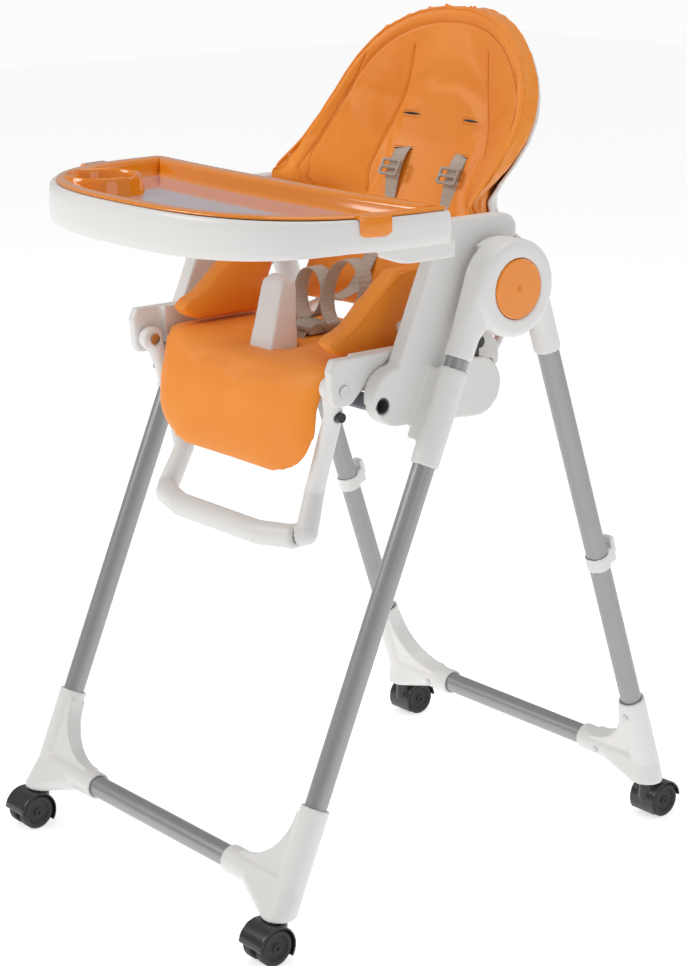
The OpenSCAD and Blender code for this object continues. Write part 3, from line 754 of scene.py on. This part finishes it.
class CHAIR_OT_casters(bpy.types.Operator):
    """Makes the hooded casters and their twin wheels"""
    bl_idname = "chair.casters"
    bl_label = "Casters"

    def execute(self, context):
        for corner in CORNERS:
            moulding(f"caster_fork_{corner}", f"caster_{corner}", "black", 0.0011, 5)
            soften_edges(paint_node(f"caster_wheels_{corner}", "tread"), 0.0006)
        return {"FINISHED"}


def back_outline(inset=0.0, count=72):
    """The outline of the backrest seen from the front as (x, z), up one side and down the other."""
    low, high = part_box("back_cushion")
    half, top = high.x - inset, high.z - inset
    shoulder = low.z + 0.553 * (high.z - low.z)
    line = []
    for k in range(count + 1):
        a = math.pi * k / count
        line.append((half * math.copysign(abs(math.cos(a)) ** (2 / 2.2), math.cos(a)),
                     shoulder + (top - shoulder) * math.sin(a) ** (2 / 2.2)))
    foot = shoulder - 0.075
    return [(half, foot), (half, (foot + shoulder) / 2), *line, (-half, (foot + shoulder) / 2),
            (-half, foot)]


class CHAIR_OT_backrest(bpy.types.Operator):
    """Makes the padded bucket back with its seams, piping and strap slits"""
    bl_idname = "chair.backrest"
    bl_label = "Backrest"

    def execute(self, context):
        flat = surface_of(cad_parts["back_cushion"])
        front = (0, 1, 0)

        def on_front(line):
            return traced(flat, [(x, -0.6, z) for x, z in line], front)

        rim = on_front(back_outline(0.022))
        low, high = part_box("back_cushion")
        wide, tall = high.x, high.z - low.z
        panels = []
        for side in (1, -1):
            inner = [(0.36, 0.86), (0.40, 0.72), (0.47, 0.62), (0.515, 0.54), (0.52, 0.46), (0.50, 0.38)]
            outer = [(0.74, 0.82), (0.83, 0.70), (0.875, 0.58), (0.87, 0.50), (0.83, 0.42), (0.77, 0.36)]
            for edge in (inner, outer):
                line = [(side * u * wide, low.z + v * tall) for u, v in edge]
                panels.append([tuple(p) for p in on_front(line)])
        seams = [[tuple(p) for p in rim], *panels]
        piece = cushion("back_cushion_padded", [cad_copy("back", ["back_cushion"])], seams,
                        (0, 1, 0), 0.007)
        dress(piece, "leather", "backrest", ["back_cushion"])
        skin = surface_of(piece)
        edge_line = []
        for x, z in back_outline(0.003):
            spot = skin.find_nearest(Vector((x, self.edge_y(flat, x, z), z)))[0]
            edge_line.append(tuple(spot))
        piping = tube("back_piping", smooth_line(edge_line, 0.005, 4), sizes().piping, 8)
        dress(piping, "leather", "backrest")
        rows = [smooth_line(line, 0.004, 2) for line in seams]
        sewing = stitches("back_stitches", skin, rows)
        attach(sewing, "backrest")
        self.slits(skin)
        shell = remeshed(cad_copy("back_shell_moulded", ["back_shell"]), 0.0028, 8)
        dress(shell, "seat_white", "backrest", ["back_shell"])
        return {"FINISHED"}

    @staticmethod
    def edge_y(tree, x, z):
        """Depth of the front surface just inside the rim at this place."""
        hit = tree.ray_cast(Vector((x * 0.985, -0.6, z - 0.002)), Vector((0, 1, 0)))[0]
        return hit.y if hit else 0.1

    @staticmethod
    def slits(skin):
        """Slits with stitched edges that the shoulder straps can pass through; each slit is a black
        sheet on the skin, painted shade for the dark inside of the opening.
        """
        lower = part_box("strap_sliders")[1].z + 0.008
        verts, faces, lines = [], [], []
        for x in (-0.055, 0.055):
            for z in (lower, lower + 0.044):
                line = []
                for k in range(15):
                    u = 2 * k / 14 - 1
                    hit = skin.ray_cast(Vector((x + 0.016 * u, -0.6, z)), Vector((0, 1, 0)))
                    line.append((hit[0], hit[1], u))
                base = len(verts)
                for spot, normal, u in line:
                    gape = 0.0014 * (1 - u * u) + 0.0002
                    verts += [spot + normal * 0.0004 + Vector((0, 0, gape)),
                              spot + normal * 0.0001, spot + normal * 0.0004 - Vector((0, 0, gape))]
                for k in range(14):
                    for row in (0, 1):
                        a = base + 3 * k + row
                        faces.append((a, a + 1, a + 4, a + 3))
                for up in (0.004, -0.004):
                    lines.append([spot + Vector((0, 0, up)) for spot, _, _ in line])
        # Painted shade: black sheets lie on the uncut skin where the openings would be dark inside.
        slit = mesh_object("strap_slit_shade", verts, faces)
        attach(dress(slit, "black"), "backrest")
        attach(stitches("slit_stitches", skin, lines), "backrest")


class CHAIR_OT_seat_cover(bpy.types.Operator):
    """Makes the seat cushion and leg rest flap as one padded cover"""
    bl_idname = "chair.seat_cover"
    bl_label = "Seat cover"

    def execute(self, context):
        seat_low, seat_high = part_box("seat_cushion")
        flap_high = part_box("legrest_pad")[1]
        top, front, lip = seat_high.z, seat_low.y, flap_high.z
        roll = [(front + 0.03, top), (front + 0.004, top), (front - 0.010, top - 0.003),
                (front - 0.0165, lip), (front - 0.021, lip - 0.018), (front - 0.010, lip - 0.020),
                (front + 0.002, lip - 0.006), (front + 0.03, seat_low.z + 0.003)]
        parts = [cad_copy("seat", ["seat_cushion"]), cad_copy("flap", ["legrest_pad"]),
                 prism("roll", roll, flap_high.x + 0.004)]
        piece = cushion("seat_cover", parts, [], (0, 0.8, -0.6), 0.004, 5, 14)
        dress(piece, "leather")
        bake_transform(piece)
        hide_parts("seat_cushion", "legrest_pad")
        return {"FINISHED"}


class CHAIR_OT_bolsters(bpy.types.Operator):
    """Makes the side bolsters with their front seams"""
    bl_idname = "chair.bolsters"
    bl_label = "Side bolsters"

    def execute(self, context):
        for side, sign in SIDES.items():
            node = f"bolster_{side}"
            low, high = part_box(node)
            outer = high.x if sign > 0 else low.x
            edge = [(low.y + (high.y - low.y) * u, low.z + (high.z - low.z) * v)
                    for u, v in ((0.84, 0.99), (0.65, 0.97), (0.42, 0.70), (0.20, 0.38), (0.05, 0.26),
                                 (0.015, 0.17), (0.06, 0.08), (0.2, 0.015), (0.45, 0.01))]
            seam = [(outer - sign * 0.001, y, z) for y, z in edge]
            piece = cushion(f"{node}_padded", [cad_copy(node, [node])], [seam], (sign, 0, 0), 0.006, 4)
            dress(piece, "leather", "seat", [node])
            skin = surface_of(piece)
            row = smooth_line([(outer, y + 0.009, z - 0.002) for y, z in edge[:5]], 0.004, 3)
            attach(stitches(f"{node}_stitches", skin, [row]), "seat")
        return {"FINISHED"}


class CHAIR_OT_harness(bpy.types.Operator):
    """Makes the straps, sliders, loops and buckle of the harness"""
    bl_idname = "chair.harness"
    bl_label = "Harness"

    def execute(self, context):
        wide = sizes().strap
        for side, sign in SIDES.items():
            node = f"shoulder_strap_{side}"
            low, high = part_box(node)
            x = (low.x + high.x) / 2
            spots = [(high.y + 0.004, high.z + 0.001), (high.y - 0.010, high.z - 0.006),
                     (high.y - 0.022, high.z - 0.028), (high.y - 0.034, high.z - 0.075),
                     (high.y - 0.053, high.z - 0.126), (high.y - 0.088, high.z - 0.178),
                     (low.y + 0.002, low.z + 0.001)]
            line = smooth_line([(x, y, z) for y, z in spots], 0.003, 10)
            strap = ribbon(node + "_webbing", line, (1, 0, 0), wide)
            dress(strap, "webbing", "backrest", [node])
        sliders = []
        low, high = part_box("strap_sliders")
        for sign in SIDES.values():
            x, y, z = sign * 0.055, (low.y + high.y) / 2, (low.z + high.z) / 2
            tilt = Matrix.Rotation(math.radians(-28), 4, "X")
            for offset in (-0.0095, 0.0, 0.0095):
                ends = [Vector((u * (wide / 2 + 0.003), 0, offset)) for u in (-1, -0.5, 0, 0.5, 1)]
                ends = [Vector((x, y - 0.002, z)) + tilt @ p for p in ends]
                sliders.append(tube("bar", ends, 0.0021, 10))
            for u in (-1, 1):
                ends = [Vector((u * (wide / 2 + 0.003), 0, v)) for v in (-0.0105, 0.0, 0.0105)]
                ends = [Vector((x, y - 0.002, z)) + tilt @ p for p in ends]
                sliders.append(tube("side", ends, 0.0023, 10))
        piece = joined("strap_sliders_moulded", sliders)
        remeshed(piece, 0.0009, 3)
        dress(piece, "buckle", "backrest", ["strap_sliders"])
        self.lower_straps(wide)
        return {"FINISHED"}

    def lower_straps(self, wide):
        low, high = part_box("lap_straps")
        z = (low.z + high.z) / 2
        bands = []
        for sign in SIDES.values():
            spots = [(0.020, low.y - 0.004, z - 0.010), (0.045, low.y + 0.010, z - 0.004),
                     (0.080, low.y + 0.026, z - 0.002), (0.110, low.y + 0.040, z - 0.003),
                     (high.x - 0.002, high.y - 0.002, z - 0.005)]
            line = smooth_line([(sign * x, y, h) for x, y, h in spots], 0.004, 6)
            tilts = [Vector((0, -0.75, 0.65)).lerp(Vector((0, 0.1, 1)), k / (len(line) - 1))
                     for k in range(len(line))]
            bands.append(ribbon("band", line, tilts, wide))
        piece = self.merged_with_map("lap_straps_webbing", bands)
        dress(piece, "webbing", "seat", ["lap_straps"])
        low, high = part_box("crotch_strap")
        y = (low.y + high.y) / 2
        spots = [(0, y, low.z), (0, y, high.z - 0.012), (0, y + 0.003, high.z - 0.003),
                 (0, y + 0.014, high.z + 0.001)]
        strap = ribbon("crotch_strap_webbing", smooth_line(spots, 0.003, 5), (1, 0, 0), wide)
        dress(strap, "webbing", "seat", ["crotch_strap"])
        low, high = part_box("buckle")
        body = prism("body", [(low.y + 0.004, low.z), (high.y, low.z + 0.002), (high.y, high.z - 0.003),
                              (high.y - 0.008, high.z), (low.y + 0.010, high.z - 0.001),
                              (low.y + 0.004, high.z - 0.005)], 0.019)
        tongue = prism("tongue", [(low.y, low.z + 0.004), (low.y + 0.006, low.z + 0.004),
                                  (low.y + 0.006, high.z - 0.004), (low.y, high.z - 0.004)], 0.013)
        piece = joined("buckle_moulded", [body, tongue])
        remeshed(piece, 0.0011, 6)
        dress(piece, "buckle", "seat", ["buckle"])
        self.loops(high, wide)

    def loops(self, high, wide):
        """Webbing loops that stand up over the buckle, where the shoulder straps clip in."""
        bands = []
        for x, lean, size in ((0.030, 0.35, 0.034), (-0.024, -0.5, 0.026)):
            line, across = [], []
            for k in range(25):
                a = 2 * math.pi * k / 24
                side, rise = size * math.sin(a), size * 1.15 * (1 - math.cos(a))
                line.append((x + side + lean * rise * 0.3, high.y - 0.006 + 0.02 * math.sin(a / 2),
                             high.z - 0.002 + rise))
                across.append(Vector((0.25, 1, 0.1)))
            bands.append(ribbon("loop", line, across, wide * 0.75, 0.0018))
        piece = self.merged_with_map("harness_loops", bands)
        dress(piece, "webbing", "seat")

    @staticmethod
    def merged_with_map(name, bands):
        """Joins ribbons and keeps their map."""
        bpy.ops.object.select_all(action="DESELECT")
        for band in bands:
            band.select_set(True)
        bpy.context.view_layer.objects.active = bands[0]
        bpy.ops.object.join()
        bands[0].name = name
        bands[0].data.name = name
        return bands[0]


# ---- Tray ----

def tray_outline(inset, power=2.8, count=40):
    """Outline of the tray as (x, y): the rounded front, then the child's side with its curve."""
    low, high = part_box("tray_base")
    half, front = high.x, low.y
    line_y = front + 0.250
    points = []
    for k in range(count + 1):
        a = math.pi * k / count
        c, s = math.cos(a), math.sin(a)
        points.append(((half - inset) * math.copysign(abs(c) ** (2 / power), c),
                       line_y - (0.250 - inset) * s ** (2 / power)))
    back = high.y - inset
    edge = half - inset
    for k in range(1, 6):
        a = math.pi / 2 * k / 6
        points.append((-edge + 0.012 * (1 - math.cos(a)), line_y + (back - line_y) * math.sin(a)))
    for k in range(25):
        u = -1 + 2 * k / 24
        points.append(((edge - 0.012) * u, back - 0.012 * (1 - u * u)))
    for k in range(1, 6):
        a = math.pi / 2 * (1 - k / 6)
        points.append((edge - 0.012 * (1 - math.cos(a)), line_y + (back - line_y) * math.sin(a)))
    return points


def lofted(name, rings, cap_last=True, cap_first=True):
    """A skin through rings of equally many points."""
    count = len(rings[0])
    verts = [p for ring in rings for p in ring]
    faces = []
    for i in range(len(rings) - 1):
        for k in range(count):
            a, b = i * count + k, i * count + (k + 1) % count
            faces.append((a, b, b + count, a + count))
    if cap_first:
        faces.append(tuple(range(count - 1, -1, -1)))
    if cap_last:
        faces.append(tuple(range((len(rings) - 1) * count, len(rings) * count)))
    piece = mesh_object(name, verts, faces)
    return outward(piece)


def creased(piece, degrees=38):
    piece.data.shade_smooth()
    piece.data.set_sharp_from_angle(angle=math.radians(degrees))
    return piece


def lathe(name, profile, centre, sides=72):
    """Turns a profile of (radius, z) about a vertical line; the first and last points close it."""
    rings = [[(centre[0] + r * math.cos(2 * math.pi * k / sides),
               centre[1] + r * math.sin(2 * math.pi * k / sides), z) for k in range(sides)]
             for r, z in profile]
    return lofted(name, rings)


class CHAIR_OT_tray(bpy.types.Operator):
    """Makes the tray's bulging white wall and its glossy insert with the cup recess"""
    bl_idname = "chair.tray"
    bl_label = "Tray"

    def execute(self, context):
        low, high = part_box("tray_base")
        bottom, top = low.z, high.z
        floor = bottom + 0.012
        stations = [(0.0045, floor + 0.0), (0.004, bottom), (0.0015, bottom), (0.0004, bottom + 0.002),
                    (0.0, bottom + 0.012), (-0.0005, bottom + 0.022), (0.0, top - 0.012),
                    (0.0008, top - 0.004), (0.0024, top - 0.001), (0.0045, top), (0.011, top - 0.0008),
                    (0.0145, top - 0.002), (0.015, top - 0.006), (0.015, floor + 0.004)]
        rings = []
        for inset, z in stations:
            ring = []
            for x, y in tray_outline(inset):
                lift = 0.0
                if z < floor:
                    rise = min(1, max(0, (y - low.y) / 0.125))
                    lift = (floor - 0.0004 - z) * rise
                ring.append((x, y, z + lift))
            rings.append(ring)
        base = creased(lofted("tray_base_moulded", rings), 50)
        dress(base, "white", "tray", ["tray_base"])
        self.insert(top)
        return {"FINISHED"}

    def insert(self, top):
        """The glossy insert: a rim over the wall, a dropped well and a raised cup recess."""
        low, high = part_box("tray_insert")
        floor = low.z + 0.0035
        stations = [(0.0075, top + 0.0003), (0.0052, top + 0.0006), (0.0045, top + 0.0020),
                    (0.0052, top + 0.0034), (0.0080, top + 0.0042), (0.0150, top + 0.0043),
                    (0.0210, top + 0.0036), (0.0250, top + 0.0018), (0.0270, top - 0.0020),
                    (0.0285, floor + 0.0055), (0.0310, floor + 0.0018), (0.0360, floor),
                    (0.0365, floor - 0.0030), (0.0240, floor - 0.0030), (0.0225, top - 0.0030),
                    (0.0170, top + 0.0001)]
        rings = [[(x, y, z) for x, y in tray_outline(inset, 2.65)] for inset, z in stations]
        body = lofted("tray_insert_moulded", rings, cap_last=False, cap_first=False)
        bm = bmesh.new()
        bm.from_mesh(body.data)
        bm.verts.ensure_lookup_table()
        count, well_floor = len(rings[0]), 11
        for level in (well_floor, well_floor + 1):
            sheet = bm.faces.new([bm.verts[level * count + k] for k in range(count)])
            # The lower sheet, the well floor, takes material 1, the painted reflection; the upper sheet
            # takes the orange.
            sheet.material_index = 1 if level == well_floor else 0
        for k in range(count):
            bm.faces.new([bm.verts[v] for v in (k, (k + 1) % count,
                          (len(rings) - 1) * count + (k + 1) % count, (len(rings) - 1) * count + k)])
        bmesh.ops.recalc_face_normals(bm, faces=bm.faces)
        bm.to_mesh(body.data)
        bm.free()
        base_low, base_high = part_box("tray_base")
        cup = Vector((-(base_high.x - 0.114), base_low.y + 0.096, 0))
        rise = high.z - 0.0020
        ring_profile = [(0.0520, floor - 0.0025), (0.0505, floor + 0.004), (0.0478, rise - 0.006),
                        (0.0468, rise - 0.0015), (0.0452, rise), (0.0436, rise - 0.0012),
                        (0.0425, rise - 0.005), (0.0408, floor - 0.0005), (0.0380, floor - 0.0022)]
        bowl = creased(lathe("cup_ring", ring_profile, cup), 45)
        for part in (body, bowl):
            creased(part, 50)
            part.data.materials.append(MATERIALS["orange"])
            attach(part, "tray_insert")
        # Material 1 is the painted reflection on the well floor.
        body.data.materials.append(MATERIALS["tray_floor"])
        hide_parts("tray_insert")
        self.tabs(top, base_low.y + 0.250)

    @staticmethod
    def tabs(top, line_y):
        """Clips at the sides that fold down over the tray's wall."""
        front, back = line_y - 0.116, line_y - 0.079
        for side, sign in SIDES.items():
            outline = tray_outline(-0.0012)
            wall = sorted({(round(y, 5), round(abs(x), 5)) for x, y in outline
                           if front - 0.02 < y < back + 0.02})
            ys = [y for y, _ in wall]
            xs = [x for _, x in wall]
            verts, faces = [], []
            steps = 12
            profile = [(-0.020, 0.0042), (0.0002, 0.0045), (0.0024, 0.0030), (0.0030, 0.0008),
                       (0.0030, -0.0150), (0.0024, -0.0185), (0.0012, -0.0195), (0.0006, -0.0185),
                       (0.0004, -0.0010), (-0.0010, 0.0006), (-0.020, 0.0006)]
            for k in range(steps + 1):
                y = front + (back - front) * k / steps
                x = float(np.interp(y, ys, xs))
                shy = 0.0035 * (abs(2 * k / steps - 1) ** 6)
                for dx, dz in profile:
                    drop = shy if dz < -0.01 else 0
                    verts.append((sign * (x + dx - 0.0012), y, top + dz + drop))
            n = len(profile)
            for k in range(steps):
                for q in range(n):
                    a, b = k * n + q, k * n + (q + 1) % n
                    faces.append((a, b, b + n, a + n))
            faces += [tuple(range(n)), tuple(range(steps * n + n - 1, steps * n - 1, -1))]
            tab = creased(mesh_object(f"tray_clip_{side}", verts, faces), 40)
            tab.data.materials.append(MATERIALS["orange"])
            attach(tab, "tray_insert")


class CHAIR_OT_stage(bpy.types.Operator):
    """Sets the pale floor, the soft lights and the camera"""
    bl_idname = "chair.stage"
    bl_label = "Stage"

    def execute(self, context):
        stage = context.scene.chair_stage
        camera = bpy.data.objects.new("camera", bpy.data.cameras.new("camera"))
        context.scene.collection.objects.link(camera)
        camera.data.lens = stage.lens
        camera.data.sensor_width = 36
        camera.data.clip_end = 50
        a, e = stage.azimuth, stage.elevation
        back = Vector((math.sin(a) * math.cos(e), -math.cos(a) * math.cos(e), math.sin(e)))
        camera.location = stage.place
        camera.rotation_euler = (-back).to_track_quat("-Z", "Y").to_euler()
        context.scene.camera = camera
        self.floor(context)
        self.light("key", (-1.6, -2.6, 2.6), 1.4, 40, (1, 0.985, 0.96))
        self.light("fill", (2.9, -0.6, 1.7), 1.6, 8, (0.97, 0.98, 1))
        self.light("top", (0.3, 0.2, 3.2), 2.0, 20, (1, 1, 1))
        self.light("back", (0.6, 2.8, 2.0), 1.8, 8, (1, 1, 1))
        world = bpy.data.worlds.new("studio")
        world.use_nodes = True
        world.node_tree.nodes["Background"].inputs[0].default_value = (1, 1, 1, 1)
        sky = world.node_tree.nodes["Background"]
        ray = world.node_tree.nodes.new("ShaderNodeLightPath")
        level = world.node_tree.nodes.new("ShaderNodeMapRange")
        level.inputs["To Min"].default_value = 0.40
        level.inputs["To Max"].default_value = 0.97
        world.node_tree.links.new(ray.outputs["Is Camera Ray"], level.inputs["Value"])
        world.node_tree.links.new(level.outputs["Result"], sky.inputs["Strength"])
        context.scene.world = world
        context.scene.view_settings.view_transform = "Standard"
        return {"FINISHED"}

    @staticmethod
    def floor(context):
        half = 9.0
        floor = mesh_object("floor", [(-half, -half, 0), (half, -half, 0), (half, half, 0),
                                      (-half, half, 0)], [(0, 1, 2, 3)])
        material = bpy.data.materials.new("Floor")
        material.use_nodes = True
        shader = material.node_tree.nodes["Principled BSDF"]
        shader.inputs["Base Color"].default_value = (0.8, 0.8, 0.8, 1)
        shader.inputs["Emission Color"].default_value = (1, 1, 1, 1)
        shader.inputs["Emission Strength"].default_value = 0.62
        shader.inputs["Roughness"].default_value = 0.75
        floor.data.materials.append(material)

    @staticmethod
    def light(name, place, size, power, tint):
        data = bpy.data.lights.new(name, "AREA")
        data.shape, data.size = "SQUARE", size
        data.energy, data.color = power, tint
        lamp = bpy.data.objects.new(name, data)
        lamp.location = place
        aim = Vector((0, -0.05, 0.6)) - Vector(place)
        lamp.rotation_euler = aim.to_track_quat("-Z", "Y").to_euler()
        bpy.context.scene.collection.objects.link(lamp)


class CHAIR_PT_panel(bpy.types.Panel):
    """Lists the steps that build the chair"""
    bl_idname = "CHAIR_PT_panel"
    bl_label = "High chair"
    bl_space_type = "VIEW_3D"
    bl_region_type = "UI"
    bl_category = "High chair"

    def draw(self, context):
        for step in STEPS:
            self.layout.operator(step.bl_idname)
        for group in (context.scene.chair_colours, context.scene.chair_sizes):
            for name in group.__annotations__:
                self.layout.prop(group, name)


GROUPS_OF_PROPERTIES = {"chair_colours": ChairColours, "chair_sizes": ChairSizes,
                        "chair_stage": ChairStage}
STEPS = (CHAIR_OT_tubes, CHAIR_OT_mouldings, CHAIR_OT_casters, CHAIR_OT_backrest,
         CHAIR_OT_seat_cover, CHAIR_OT_bolsters, CHAIR_OT_harness, CHAIR_OT_tray, CHAIR_OT_stage)
CLASSES = (*GROUPS_OF_PROPERTIES.values(), *STEPS, CHAIR_PT_panel)


def register():
    for cls in CLASSES:
        bpy.utils.register_class(cls)
    for name, cls in GROUPS_OF_PROPERTIES.items():
        setattr(bpy.types.Scene, name, bpy.props.PointerProperty(type=cls))


def unregister():
    for name in GROUPS_OF_PROPERTIES:
        delattr(bpy.types.Scene, name)
    for cls in reversed(CLASSES):
        bpy.utils.unregister_class(cls)


def main():
    register()
    MATERIALS.update(make_materials())
    for step in STEPS:
        group, name = step.bl_idname.split(".")
        getattr(getattr(bpy.ops, group), name)()


if __name__ == "__main__":
    main()
